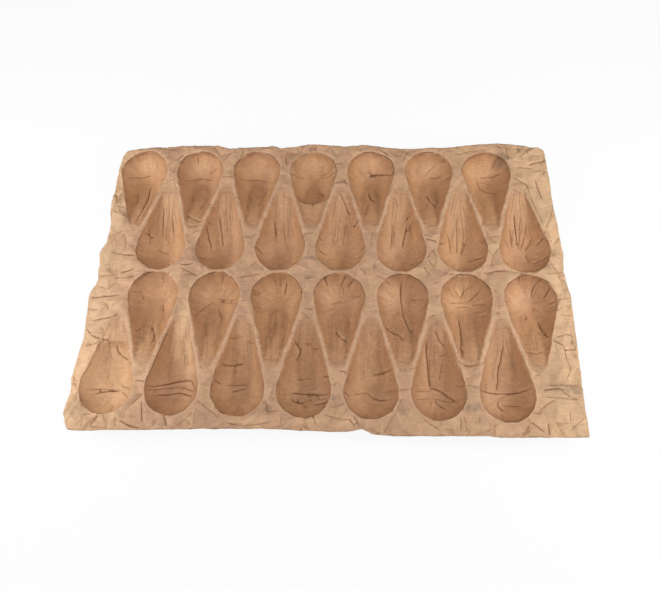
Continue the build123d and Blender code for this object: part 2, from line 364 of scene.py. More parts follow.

# Darker areas, given in the same way
DARK_PATCHES = {
    "front_row": [(306, 396, 17, 15, 0.4), (308, 362, 12, 22, 0.25), (307, 335, 10, 14, 0.35),
                  (246, 345, 8, 16, 0.12), (431, 345, 6, 24, 0.25), (380, 396, 10, 10, 0.2)],
    "inner_front_row": [(348, 285, 10, 9, 0.2), (412, 292, 10, 12, 0.2)],
    "back_margin": [(176, 158, 10, 6, 0.3), (290, 158, 8, 8, 0.25), (345, 158, 5, 8, 0.2),
                    (400, 158, 6, 8, 0.2)],
}

# Paper colours, and colours that paint light and shade onto the paper
PINK_TAN = (0.53, 0.3, 0.182, 1)
YELLOW_TAN = (0.55, 0.34, 0.185, 1)
# Painted bounce light: pocket browns, more saturated than the flats and pinker in places
POCKET_BOUNCE_BROWN = (0.592, 0.32, 0.15, 1)
ROSE_BOUNCE_BROWN = (0.56, 0.298, 0.155, 1)
# Painted shade on the pocket walls just inside the rims, a deep reddish brown
WALL_SHADE_BROWN = (0.4, 0.19, 0.08, 1)
# Paler paper, and painted light on lit facets and walls
PALE_AND_LIT_TAN = (0.74, 0.462, 0.26, 1)
DARK_BROWN = (0.33, 0.165, 0.085, 1)
# Painted light on the side margins, a paler cream
MARGIN_LIGHT_CREAM = (0.65, 0.422, 0.24, 1)
NECK_BROWN = (0.6, 0.285, 0.12, 1)
# Painted shade in the creases
CREASE_SHADE_BROWN = (0.19, 0.068, 0.023, 1)
# Painted highlight on raised folds, lips, ridges and fold shoulders
HIGHLIGHT_TAN = (0.78, 0.51, 0.325, 1)
GREY = (0.17, 0.12, 0.085, 1)

# Marks that a kind of fold leaves: depth, half width and strength of its line of painted shade
DEEP = (1.3, 3.2, 1.0)
FINE = (0.8, 2.6, 0.64)
RIM = (0.5, 2.2, 1.0)
PLEAT = (0.6, 2.4, 0.33)
CRUMPLE = (0.7, 2.8, 0.52)
# Raised folds lift the paper and carry a line of painted highlight
RAISED = (0.9, 3.0, 0.8)

# Form of a fold: rise beside it as share of its depth, place and half width, fade at its ends, painted
# highlight on its sides
FOLD_RISE = (0.25, 1.2, 0.45)
FOLD_FADE = 6
FOLD_END = 0.35
SHOULDER = (3.0, 2.0)
SHARP_FOLD = 0.35
CREASED = 0.9
FOLD_SPREAD = 4.2
CLEAR_OF_FOLDS = 5.0
ON_FOLD = 0.15
OFF_FOLD = 0.45
PULL = 0.8 * CELL

# Drawing of folds and rims: points on a run, cuts of a corner, and reach of a fold that lies on a rim
RUN_POINTS = 12
RIM_POINTS = 6
HEAD_POINTS = 48
TIP_POINTS = 16
CORNER_CUTS = 2
CORNER_SHARE = 0.25
RIM_REACH = 8.0
RIM_STEP = 0.05

# Crumpled facets: size, height and seed, and where their folds count as folds of the flats
BROAD_FACETS = (38, 2.2, 3)
SMALL_FACETS = (16, 2.8, 7)
FACET_BORDER = 40
FACET_JITTER = 0.45
FACET_TOP = 100.0
FOLD_BEND = 0.12
FLAT_POINTS = 9
FLAT_RIM = 0.8
FLAT_LEAST = 3

# Pleats in the heads, wrinkles along the necks and the fold across each tip
PLEAT_SEED = 9
PLEAT_COUNT = (5, 8)
PLEAT_SWEEP = 0.2
PLEAT_TURN = 0.12
PLEAT_OUTER = (0.5, 2)
PLEAT_INNER = (8, 17)
WRINKLE_COUNT = (4, 7)
WRINKLE_LEAN = 0.16
WRINKLE_TOP = (40, 66)
WRINKLE_RUN = (14, 34)
WRINKLE_FAN = 1.4
WRINKLE_ROOT = NECK_LENGTH + 20
TIP_FOLD_HALF = 7.5
TIP_FOLD_PLACE = (-2, 5)
TIP_FOLD_LEAN = 1.5

# Form of the sheet between rims, in pockets and along the cut edge
FLAT_RUN = 4.0
FLAT_GAP = (6.0, 8.0)
RIDGE_CRUMPLE = 0.3
POCKET_CRUMPLE = (0.3, 0.4)
POCKET_CRUMPLE_RUN = 8.0
NECK_CALM = 0.85
EDGE_RUN = 9.0
EDGE_CRUMPLE = 0.5
LIP_DROP = 0.8
LIP_RUN_OUT = 1.4
LIP_RUN_IN = 2.2
CURL_RUN = 14.0
CRISP_RIM = 0.6

# Places that the paper's looks follow
RIDGE_RUN = 2.0
RIDGE_GAP = (10.0, 3.0)
NARROW_RIM = 1.6
RIM_LIMITS = (-20, 8)
HOLLOW_DEPTH = 8.0
NECK_START = (-8, 24)
HEAD_START = (6, 12)
HEAD_MIDDLE = 0.01
SIDE_RUN = 38
SIDE_RIM = 3
LOOSE_LIMITS = (0.65, 1.2)
LOOSE_RUN = 60
SMUDGE_EDGE = 1.0
PATCH_EDGE = 1.4
PATCH_LEAST = 1

# Pleats, wrinkles and tones, by row from the back
HEAD_PLEATS = (0.6, 0.8, 1.0, 0.6)
NECK_WRINKLES = (0.25, 1.2, 0.6, 0.6)
# Painted shade that darkens the pockets row by row towards the front, then a darkening of the necks
POCKET_TONES = (0.0, -0.02, -0.06, -0.1)
NECK_TONE = 0.09

# Noise in the paper, as scale and detail
HUE_CLOUD = (38, 3)
BROWN_CLOUD = (14, 1)
BLOTCH_CLOUD = (120, 4)
FIBRE_CLOUD = (520, 3)
LONG_FIBRE_CLOUD = (420, 2)
LONG_FIBRE = (0.3, 1, 1)
SMUDGE_CLOUD = (260, 4)
# Noise that breaks up the painted shade along the creases
CREASE_SHADE_CLOUD = (150, 3)
UNDER_LIP_CLOUD = (70, 3)
RADIAL_CLOUD = (1.0, 1)
RADIAL_SCALE = (3.2, 3.2, 45)
LENGTHWISE_CLOUD = (1.0, 2)
LENGTHWISE_SCALE = (11, 16, 1)
GRAIN_CLOUD = (210, 5)
CLOUD_ROUGHNESS = 0.6
CLOUD_MIDDLE = 0.5

# Ranges of the paper's looks: from low, from high, to low, to high
HUE_SPREAD = (0.38, 0.62, 0, 0.6)
YELLOW_SIDE = (0.05, 0.28, 0, 0.4)
FOLD_LINE = (0.6, 1.0, 0.0, 1.0)
INSIDE = (0.3, -1.2, 0.0, 1.0)
OUTSIDE = (-0.5, 1.5, 0.1, 1.0)
SHALLOW = (0.0, 1.0, 0.7, 1.0)
# Band of painted highlight along the lips of the rims
LIP_INNER = (-0.3, 0.5, 0.0, 1.0)
LIP_OUTER = (1.2, 2.4, 1.0, 0.0)
# Band of painted shadow under the lips of the rims, and its strength
UNDER_LIP_INNER = (-2.2, -0.9, 0.0, 1.0)
UNDER_LIP_OUTER = (-0.5, 0.0, 1.0, 0.0)
UNDER_LIP_LINE = (0.42, 0.62, 0.04, 0.42)
ROSE_SPREAD = (0.4, 0.6, 0.0, 1.0)
# Band of painted shade on the pocket walls inside the rims, less on pale patches and along the necks
WALL_INNER = (-11.0, -2.5, 0.0, 1.0)
WALL_OUTER = (-1.4, -0.3, 1.0, 0.0)
WALL_PALE = (0.0, 0.8, 1.0, 0.0)
WALL_NECK = (0.0, 1.0, 1.0, 0.45)
FIBRE_TONE = (0.7, 1.3, 0.88, 1.12)
BACK_TONE = (0.11, 0.18, 0.0, 0.07)
# Painted light that makes the deepest pocket floors lighter
DEPTH_TONE = (0.6, 1.0, 0.0, 0.06)
SMUDGE_GRAIN = (0.35, 0.6, 0.35, 1.0)
# Breaks in the painted shade along the creases
CREASE_SHADE_BREAKS = (0.3, 0.55, 0.65, 1.0)
POCKET_WAVES = (0.0, 0.6, 1.0, 0.25)

# Share of a look where the blotches are low and where they are high
BLOTCH_SPREAD = (0.3, 0.7)
CREAM_BLOTCHES = (0.95, 0.4)
POCKET_BLOTCHES = (0.75, 1.0)
WALL_BLOTCHES = (0.5, 0.22)
PALE_BLOTCHES = (1.0, 0.7)
DARK_BLOTCHES = (1.0, 0.6)
HIGHLIGHT_BLOTCHES = (1.0, 0.55)
TONE_BLOTCHES = (-0.05, 0.05)

# Strengths of the paper's looks
ROUGHNESS = 0.68
FACET_HUE = 0.25
# Painted light: each facet of the flats a little lighter or darker at random, as if it caught the light
# differently
FACET_TONE = 0.075
NECK_TINT = 0.4
# Strengths of the painted highlights on lips, ridges and fold shoulders
LIP_LIGHT = 0.24
RIDGE_LIGHT = 0.26
SHOULDER_LIGHT = 0.32
# Streaks of painted shade along the pleats and wrinkles
PLEAT_SHADE_TONE = 0.4

# Relief of the paper in metres, and its soft waves as turn, width and steepness
PLEAT_HEIGHT = 0.003
FOLD_HEIGHT = 0.0004
GRAIN_HEIGHT = 0.0006
FIBRE_HEIGHT = 0.00015
WAVES = ((0.4, 0.009, 0.18), (1.45, 0.0115, 0.16), (2.4, 0.0065, 0.16))
WAVE_SPREAD = (0.42, 0.62)
WAVE_SCALE = (30, 9)
WAVE_DETAIL = 1
DRIFT_SCALE = 16
DRIFT_DETAIL = 2
DRIFT = (0.05, 0.05, 0)

# Studio: softboxes as place, aim, size and power, then the room and the floor
SOFTBOXES = {
    "left_softbox": ((-0.62, -0.03, 0.4), (-0.1, 0, 0), (0.3, 0.3), 2.6),
    "right_softbox": ((0.62, -0.06, 0.52), (0.1, 0, 0), (0.3, 0.3), 3.2),
    "front_softbox": ((0.0, -1.1, 0.7), (0, 0.05, 0), (0.9, 0.5), 3.2),
    "top_softbox": ((0.0, 0.1, 1.6), (0, 0, 0), (1.2, 1.2), 2.6),
}
WHITE = (1, 1, 1, 1)
ROOM_LIGHT = 0.2
BACKDROP_LIGHT = 1.0
FLOOR_HALF = 3.0
FLOOR_GREY = (0.9, 0.9, 0.9, 1)
FLOOR_ROUGHNESS = 0.9
FLOOR_GLOW = 0.92


def pear_distance(x, y):
    """Signed distance to a pear outline with its head at the origin and its tip towards -Y."""
    side = np.abs(x)
    along = side * -TAPER_SINE - y * TAPER_COSINE
    flank = side * TAPER_COSINE - y * TAPER_SINE - HEAD_RADIUS
    distance = np.where(along < 0, np.hypot(side, y) - HEAD_RADIUS, flank)
    tip = np.hypot(side, y + NECK_LENGTH) - TIP_RADIUS
    return np.where(along > TAPER_COSINE * NECK_LENGTH, tip, distance)


def pocket_places():
    """Row, column, head centre and direction of the head of every pocket."""
    rows = [(OUTER_ROW, -1, 1), (INNER_ROW, 1, -1), (-INNER_ROW, 1, 1), (-OUTER_ROW, -1, -1)]
    for row, (row_y, shift, heading) in enumerate(rows):
        for column in range(COLUMNS):
            x = (column - (COLUMNS - 1) / 2) * PITCH + shift * ROW_SHIFT + FIELD_MIDDLE[0]
            yield row, column, x, row_y + FIELD_MIDDLE[1], heading


def pocket_floor(row, column, u, v):
    """Depth of a pocket's floor, which is shallow where a neck is crushed."""
    floor = np.interp(v, FLOOR_PLACES, FLOOR_DEPTHS)
    if row == 0:
        floor = np.interp(v, BACK_FLOOR_PLACES, BACK_FLOOR_DEPTHS)
    if (row, column) in CRUSHED_NECKS:
        middle, reach, shallow, steepness = CRUSHED_NECKS[row, column]
        inset = (reach - np.hypot(u, np.minimum(v - middle, 0))) * steepness
        bowl = np.interp(inset, WALL_INSETS, WALL_DEPTHS)
        floor = np.minimum(floor, np.maximum(bowl, np.minimum(floor, shallow)))
    return floor


def pocket_form(x, y):
    """Depth of the pockets, distance to the two nearest rims, and place and row of the nearest pocket."""
    depth = np.zeros_like(x)
    rim = np.full_like(x, FAR)
    second = np.full_like(x, FAR)
    sideways = np.zeros_like(x)
    forward = np.zeros_like(x)
    owner = np.zeros(x.shape, int)
    for row, column, px, py, heading in pocket_places():
        u = (x - px) * heading
        v = (y - py) * heading
        beside = np.abs(u) < HEAD_RADIUS + AROUND_HEAD
        near = np.flatnonzero(beside & (v < HEAD_RADIUS + AROUND_HEAD) & (v > -NECK_LENGTH - AROUND_TIP))
        u = u[near]
        v = v[near]
        outline = pear_distance(u, v)
        wall = np.interp(-outline, WALL_INSETS, WALL_DEPTHS)
        floor = pocket_floor(row, column, u, v)
        blend = np.clip(0.5 + (floor - wall) / FLOOR_FOLD / 2, 0, 1)
        here = floor * (1 - blend) + wall * blend - FLOOR_FOLD * blend * (1 - blend)
        here = np.where(outline < 0, np.maximum(here, 0), 0)
        depth[near] = np.maximum(depth[near], here)
        closer = np.abs(outline) < np.abs(rim[near])
        second[near] = np.where(closer, np.abs(rim[near]), np.minimum(second[near], np.abs(outline)))
        rim[near] = np.where(closer, outline, rim[near])
        sideways[near] = np.where(closer, u, sideways[near])
        forward[near] = np.where(closer, v, forward[near])
        owner[near] = np.where(closer, row, owner[near])
    return depth, rim, second, sideways, forward, owner


def waver(x, y, waves):
    """Smooth noise over the sheet, as a sum of waves of a height, a size and a seed."""
    total = np.zeros_like(x)
    for height, size, seed in waves:
        total += height * np.array([noise.noise((px / size, py / size, seed)) for px, py in zip(x, y)])
    return total


def camera_axes():
    turn = Matrix.Rotation(CAMERA_YAW, 3, "Z") @ Matrix.Rotation(CAMERA_TILT, 3, "X")
    return turn @ Matrix.Rotation(CAMERA_ROLL, 3, "Z")


def seen_on_paper(points):
    """Places on the pressed sheet that points of the photograph show."""
    points = np.array(points, float)
    place = np.array(CAMERA_PLACE)
    across = (points[:, 0] - PICTURE[0] / 2) / FOCAL
    up = (PICTURE[1] / 2 - points[:, 1]) / FOCAL
    rays = np.stack([across, up, -np.ones(len(points))], axis=1) @ np.array(camera_axes()).T
    levels = np.linspace(SIGHT_START, 0, SIGHT_LEVELS)
    reach = (levels - place[2]) / rays[:, 2:]
    x = place[0] + rays[:, :1] * reach
    y = place[1] + rays[:, 1:2] * reach
    surface = SHEET_TOP - pocket_form(x.ravel(), y.ravel())[0].reshape(x.shape)
    hit = np.argmax(levels <= surface, axis=1)
    rows = np.arange(len(points))
    return np.stack([x[rows, hit], y[rows, hit]], axis=1)


def rounded_path(path):
    """A path with its corners cut."""
    for _ in range(CORNER_CUTS):
        if len(path) > 2:
            nearer = path[:-1] * (1 - CORNER_SHARE) + path[1:] * CORNER_SHARE
            further = path[:-1] * CORNER_SHARE + path[1:] * (1 - CORNER_SHARE)
            middle = np.stack([nearer, further], axis=1).reshape(-1, 2)
            path = np.concatenate([path[:1], middle[1:-1], path[-1:]])
    return path


def photo_paths(groups):
    """Paths on the sheet for every fold of a group."""
    folds = [fold for place in groups.values() for fold in place]
    ends = np.cumsum([len(fold) for fold in folds])[:-1]
    places = seen_on_paper([point for fold in folds for point in fold])
    return [rounded_path(path) for path in np.split(places, ends)]


def follow(x, y, path, reach):
    """Points within reach of a path, their distance from it and their share of its length."""
    near = np.flatnonzero((x > path[:, 0].min() - reach) & (x < path[:, 0].max() + reach) &
                          (y > path[:, 1].min() - reach) & (y < path[:, 1].max() + reach))
    px = x[near]
    py = y[near]
    runs = np.hypot(*np.diff(path, axis=0).T)
    total = max(runs.sum(), TINY)
    best = np.full(len(near), np.inf)
    share = np.zeros(len(near))
    passed = 0.0
    for start, end, run in zip(path, path[1:], runs):
        step = end - start
        along = ((px - start[0]) * step[0] + (py - start[1]) * step[1]) / max(run ** 2, TINY)
        along = np.clip(along, 0, 1)
        gap = np.hypot(px - (start[0] + along * step[0]), py - (start[1] + along * step[1]))
        closer = gap < best
        best[closer] = gap[closer]
        share[closer] = (passed + along * run)[closer] / total
        passed += run
    return near, best, share


def edge_share(margins, share):
    """Width of a margin at a place along its side."""
    return np.interp(share, [m[0] for m in margins], [m[1] for m in margins])


def cut_outline(x, y):
    """Moves the outer strip of the sheet to the uneven cut edge."""
    for (side_x, side_y), radius in CORNER_RADII.items():
        px = np.maximum(x * side_x - (HALF_X - radius), 0)
        py = np.maximum(y * side_y - (HALF_Y - radius), 0)
        shrink = 1 - np.maximum(px, py) / np.maximum(np.hypot(px, py), TINY)
        inner = (px > 0) & (py > 0)
        x = np.where(inner, x - side_x * px * shrink, x)
        y = np.where(inner, y - side_y * py * shrink, y)
    share_x = np.clip((x + HALF_X) / (2 * HALF_X), 0, 1)
    share_y = np.clip((y + HALF_Y) / (2 * HALF_Y), 0, 1)
    nick = waver(x, y, EDGE_NICKS)
    sides = [
        (x, FIELD_X, 1, edge_share(RIGHT_MARGIN, share_y)),
        (x, FIELD_X, -1, edge_share(LEFT_MARGIN, share_y)),
        (y, FIELD_Y, 1, edge_share(BACK_MARGIN, share_x)),
        (y, FIELD_Y, -1, edge_share(FRONT_MARGIN, share_x)),
    ]
    moved = []
    for place, field, sign, margin in sides:
        past = np.maximum(place * sign - (field - CUT_STRIP), 0)
        moved.append(sign * past * ((margin + nick + CUT_STRIP) / (MARGIN + CUT_STRIP) - 1))
    return x + moved[0] + moved[1] + FIELD_MIDDLE[0], y + moved[2] + moved[3] + FIELD_MIDDLE[1]


def along_rim(path):
    """A path moved onto the rim that it follows."""
    runs = [np.linspace(a, b, RIM_POINTS, endpoint=False) for a, b in zip(path, path[1:])]
    x, y = np.concatenate(runs + [path[-1:]]).T
    rim = pocket_form(x, y)[1]
    slope_x = (pocket_form(x + RIM_STEP, y)[1] - rim) / RIM_STEP
    slope_y = (pocket_form(x, y + RIM_STEP)[1] - rim) / RIM_STEP
    near = np.abs(rim) < RIM_REACH
    return np.stack([np.where(near, x - rim * slope_x, x), np.where(near, y - rim * slope_y, y)], axis=1)


def rim_paths():
    """The rim of every pocket as a closed path."""
    taper = math.asin(TAPER_SINE)
    head = np.linspace(-taper, math.pi + taper, HEAD_POINTS)
    tip = np.linspace(math.pi + taper, 2 * math.pi - taper, TIP_POINTS)
    u = np.concatenate([HEAD_RADIUS * np.cos(head), TIP_RADIUS * np.cos(tip),
                        [HEAD_RADIUS * math.cos(taper)]])
    v = np.concatenate([HEAD_RADIUS * np.sin(head), TIP_RADIUS * np.sin(tip) - NECK_LENGTH,
                        [-HEAD_RADIUS * math.sin(taper)]])
    paths = []
    for _, _, px, py, heading in pocket_places():
        paths.append(np.stack([px + heading * u, py + heading * v], axis=1))
    return paths


def ledge_path():
    """The dark fold where the bowl that is left of the crushed back pocket meets its flattened neck."""
    middle, reach, _, _ = CRUSHED_NECKS[LEDGE_POCKET]
    turns = np.linspace(math.pi + LEDGE_ENDS, 2 * math.pi - LEDGE_ENDS, LEDGE_POINTS)
    spots = {(row, column): (px, py, heading) for row, column, px, py, heading in pocket_places()}
    px, py, heading = spots[LEDGE_POCKET]
    radius = reach - LEDGE_INSET
    x = px + heading * radius * np.cos(turns)
    y = py + heading * (middle + radius * np.sin(turns))
    return np.stack([x, y], axis=1)


def pull_onto_folds(x, y, columns, rows, paths, free):
    """Pulls one free point of each column or row of the sheet that a fold crosses onto the fold."""
    for path in paths:
        for start, end in zip(path, path[1:]):
            steep = abs(end[1] - start[1]) > abs(end[0] - start[0])
            along, across, lanes = (y, x, rows) if steep else (x, y, columns)
            a0, a1 = (start[1], end[1]) if steep else (start[0], end[0])
            c0, c1 = (start[0], end[0]) if steep else (start[1], end[1])
            if abs(a1 - a0) < SHORT:
                continue
            near = np.flatnonzero((along >= min(a0, a1)) & (along < max(a0, a1)) &
                                  (np.abs(across - (c0 + c1) / 2) < abs(c1 - c0) / 2 + CELL))
            if not len(near):
                continue
            target = c0 + (along[near] - a0) / (a1 - a0) * (c1 - c0)
            away = np.abs(target - across[near])
            order = np.argsort(away)
            _, first = np.unique(lanes[near[order]], return_index=True)
            picked = order[first]
            picked = picked[(away[picked] < PULL) & free[near[picked]]]
            across[near[picked]] = target[picked]
            free[near[picked]] = False


def facets(spacing, height, seed):
    """A random sheet of flat facets, its folds with how far each bends up, and a tone for each facet."""
    draw = random.Random(seed)
    points = []
    heights = []
    left = -FIELD_X - FACET_BORDER
    front = -FIELD_Y - FACET_BORDER
    for i in range(int(-2 * left / spacing) + 1):
        for j in range(int(-2 * front / spacing) + 1):
            x = left + (i + draw.uniform(-FACET_JITTER, FACET_JITTER)) * spacing
            y = front + (j + draw.uniform(-FACET_JITTER, FACET_JITTER)) * spacing
            points.append(Vector((x, y)))
            heights.append(draw.uniform(-height, height))
    corners, _, faces, origins, _, _ = delaunay_2d_cdt(points, [], [], 0, SHORT)
    peaks = [Vector((*corner, heights[origin[0]])) for corner, origin in zip(corners, origins)]
    opposite = {}
    for a, b, c in faces:
        for low, high, tip in ((a, b, c), (b, c, a), (c, a, b)):
            opposite.setdefault((min(low, high), max(low, high)), []).append(tip)
    folds = []
    for (low, high), tips in opposite.items():
        if len(tips) == 2:
            facing = normal(peaks[low], peaks[high], peaks[tips[0]])
            rise = (peaks[tips[1]] - peaks[low]).dot(facing) * math.copysign(1, facing.z)
            folds.append((np.array([corners[low], corners[high]]), rise / spacing))
    tones = np.array([draw.uniform(-1, 1) for _ in faces])
    return BVHTree.FromPolygons(peaks, faces), folds, tones


def facet_below(tree, x, y):
    """Height and number of the facet at every point."""
    down = Vector((0, 0, -1))
    found = [tree.ray_cast(Vector((px, py, FACET_TOP)), down) for px, py in zip(x, y)]
    heights = np.array([hit[0].z if hit[0] else 0.0 for hit in found])
    return heights, np.array([hit[2] or 0 for hit in found])


def on_flats(folds):
    """The runs of straight folds that lie on the flat paper between the pockets."""
    runs = np.linspace([fold[0] for fold in folds], [fold[1] for fold in folds], FLAT_POINTS, axis=1)
    rim = pocket_form(runs[..., 0].ravel(), runs[..., 1].ravel())[1].reshape(runs.shape[:2])
    kept = []
    for run, out in zip(runs, rim > FLAT_RIM):
        changes = np.abs(np.diff(out.astype(int))).sum()
        if out.sum() > FLAT_LEAST and changes < 2:
            kept.append(run[out])
    return kept


def pleat_paths():
    """Radial pleats in the pocket heads, wrinkles along the necks and the fold across each tip."""
    draw = random.Random(PLEAT_SEED)
    paths = []
    for _, _, px, py, heading in pocket_places():
        for _ in range(draw.randint(*PLEAT_COUNT)):
            angle = draw.uniform(-PLEAT_SWEEP, math.pi + PLEAT_SWEEP)
            turn = angle + draw.uniform(-PLEAT_TURN, PLEAT_TURN)
            outer = HEAD_RADIUS - draw.uniform(*PLEAT_OUTER)
            inner = HEAD_RADIUS - draw.uniform(*PLEAT_INNER)
            paths.append([(px + outer * math.cos(angle), py + heading * outer * math.sin(angle)),
                          (px + inner * math.cos(turn), py + heading * inner * math.sin(turn))])
        for _ in range(draw.randint(*WRINKLE_COUNT)):
            lean = draw.uniform(-WRINKLE_LEAN, WRINKLE_LEAN)
            high = draw.uniform(*WRINKLE_TOP)
            low = high - draw.uniform(*WRINKLE_RUN)
            paths.append([(px + lean * (WRINKLE_ROOT - high), py - heading * high),
                          (px + lean * (WRINKLE_ROOT - low) * WRINKLE_FAN, py - heading * low)])
        tip_y = py - heading * (NECK_LENGTH - draw.uniform(*TIP_FOLD_PLACE))
        lean = draw.uniform(-TIP_FOLD_LEAN, TIP_FOLD_LEAN)
        paths.append([(px - TIP_FOLD_HALF, tip_y - lean), (px + TIP_FOLD_HALF, tip_y + lean)])
    return [np.array(path) for path in paths]


def clear_of(paths, folds):
    """The paths that stay clear of the given folds."""
    points = np.concatenate([np.linspace(a, b, RUN_POINTS) for fold in folds for a, b in zip(fold, fold[1:])])
    kept = []
    for path in paths:
        gaps = np.hypot(path[:, None, 0] - points[None, :, 0], path[:, None, 1] - points[None, :, 1])
        if gaps.min() > CLEAR_OF_FOLDS:
            kept.append(path)
    return kept


def press(x, y, paths, mark, groove, fold, dark, away):
    """Adds folds to the grooves and to the lines of the folds, with the strength of the nearest one."""
    depth, width, strength = mark
    rise, rise_place, rise_width = FOLD_RISE
    for path in paths:
        near, gap, share = follow(x, y, path, FOLD_SPREAD)
        fade = np.clip(np.minimum(share, 1 - share) * FOLD_FADE + FOLD_END, 0, 1)
        beside = np.clip(1 - np.abs(gap / width - rise_place) / rise_width, 0, 1)
        valley = (np.clip(1 - gap / width, 0, 1) - rise * beside) * (depth * fade)
        groove[near] = np.where(np.abs(valley) > np.abs(groove[near]), valley, groove[near])
        line = np.where(gap < ON_FOLD, 1, np.clip(1 - gap / CELL, 0, OFF_FOLD))
        fold[near] = np.maximum(fold[near], line)
        closer = gap < away[near]
        reached = strength * fade * np.clip(2 - 2 * gap / FOLD_SPREAD, 0, 1)
        dark[near] = np.where(closer, reached, dark[near])
        away[near] = np.minimum(gap, away[near])


def shoulders(x, y, paths):
    """Strength of the painted highlight on the shoulders on both sides of folds."""
    strength = np.zeros_like(x)
    middle, half_width = SHOULDER
    for path in paths:
        near, gap, share = follow(x, y, path, middle + half_width)
        fade = np.clip(np.minimum(share, 1 - share) * FOLD_FADE, 0, 1)
        here = fade * np.clip(1 - np.abs(gap - middle) / half_width, 0, 1)
        strength[near] = np.maximum(strength[near], here)
    return strength


def smear(x, y, patches, edge):
    """Strength of a group of patches at every point, falling off over a share of their half sizes."""
    strength = np.zeros_like(x)
    for px, py, half_width, half_height, weight in [spot for place in patches.values() for spot in place]:
        middle, side, end = seen_on_paper([(px, py), (px + half_width, py), (px, py + half_height)])
        across = max(np.hypot(*(side - middle)), PATCH_LEAST)
        along = max(np.hypot(*(end - middle)), PATCH_LEAST)
        away = np.hypot((x - middle[0]) / across, (y - middle[1]) / along)
        strength = np.maximum(strength, weight * np.clip((1 + edge / 2 - away) / edge, 0, 1))
    return strength


def split_along_folds(mesh, pinned):
    """Cuts the four-sided faces that a rim or fold crosses from corner to corner along it."""
    bm = bmesh.new()
    bm.from_mesh(mesh)
    bm.verts.ensure_lookup_table()
    for face in list(bm.faces):
        corners = face.verts[:]
        first = pinned[corners[0].index] and pinned[corners[2].index]
        second = pinned[corners[1].index] and pinned[corners[3].index]
        if first and not second:
            bmesh.utils.face_split(face, corners[0], corners[2])
        elif second and not first:
            bmesh.utils.face_split(face, corners[1], corners[3])
    bm.to_mesh(mesh)
    bm.free()


def start_mesh(name, columns, rows, half):
    """A flat grid of the given number of cells as a new mesh."""
    bm = bmesh.new()
    bmesh.ops.create_grid(bm, x_segments=columns, y_segments=rows, size=half)
    mesh = bpy.data.meshes.new(name)
    bm.to_mesh(mesh)
    bm.free()
    return mesh


def read_numbers(items, name, width, kind=float):
    """A value of every item of a mesh as rows of numbers."""
    numbers = np.empty(len(items) * width, kind)
    items.foreach_get(name, numbers)
    return numbers.reshape(-1, width)


def write_marks(mesh, marks, kind, field, domain="POINT"):
    """Adds values to a mesh as attributes, for its material and its sharp edges."""
    for name, values in marks.items():
        data = mesh.attributes.new(name, kind, domain).data
        data.foreach_set(field, values.astype(bool if kind == "BOOLEAN" else np.float32).ravel())


